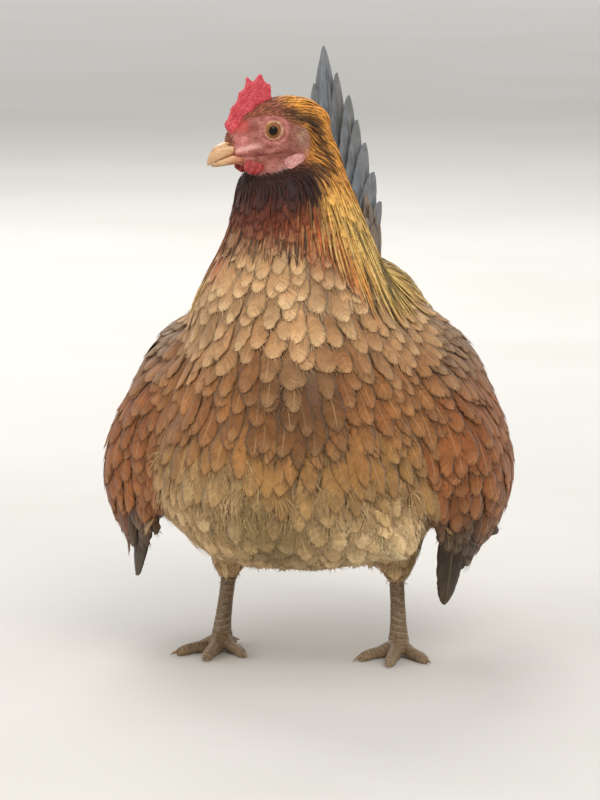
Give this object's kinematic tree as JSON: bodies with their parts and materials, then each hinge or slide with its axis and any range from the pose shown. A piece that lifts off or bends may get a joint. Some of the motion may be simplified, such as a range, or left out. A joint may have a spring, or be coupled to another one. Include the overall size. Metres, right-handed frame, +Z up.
{
  "type": "hen",
  "caption": "Life-size standing hen with cocked tail, drooped wings half spread over the flanks and head turned to its right",
  "frame": {"origin": "on the floor under the middle of the bounding box seen from above", "axes": "+Z up; the hen's body faces -Y and its left side is +X"},
  "size_m": [0.262, 0.2982, 0.366],
  "materials": {
    "plumage_brown": "reddish-brown wing coverts with pale shafts",
    "plumage_breast": "salmon-buff breast feathers with pale tips",
    "plumage_gold": "golden-orange hackle, satin",
    "plumage_crown": "short dark crown feathers and bare red face",
    "plumage_dark": "dark grey-brown flight feathers",
    "plumage_slate": "slate-grey tail feathers",
    "plumage_buff": "soft buff thigh fluff",
    "comb_red": "bare red skin, fine papillae",
    "ear_lobe_pink": "pinkish bare skin",
    "bill_horn": "yellowish horn, semi-gloss",
    "eye_amber": "wet glossy amber iris",
    "leg_scales": "horn-grey scutes with pale edges",
    "claw_horn": "brown horn claws"
  },
  "bodies": {
    "root": {"head": "plumage_crown", "neck": "plumage_gold", "trunk": "plumage_breast", "tail": "plumage_slate", "bill_upper": "bill_horn", "bill_lower": "bill_horn", "comb": "comb_red", "wattle_left": "comb_red", "wattle_right": "comb_red", "ear_lobe_left": "ear_lobe_pink", "ear_lobe_right": "ear_lobe_pink", "eye_left": "eye_amber", "eye_right": "eye_amber", "wing_left": "plumage_brown", "wing_right": "plumage_brown", "flight_feathers_left": "plumage_dark", "flight_feathers_right": "plumage_dark", "thigh_left": "plumage_buff", "thigh_right": "plumage_buff", "shank_left": "leg_scales", "shank_right": "leg_scales", "foot_left": "leg_scales", "foot_right": "leg_scales", "claw_left_inner": "claw_horn", "claw_left_middle": "claw_horn", "claw_left_outer": "claw_horn", "claw_left_hind": "claw_horn", "claw_right_inner": "claw_horn", "claw_right_middle": "claw_horn", "claw_right_outer": "claw_horn", "claw_right_hind": "claw_horn"}
  },
  "joints": []
}
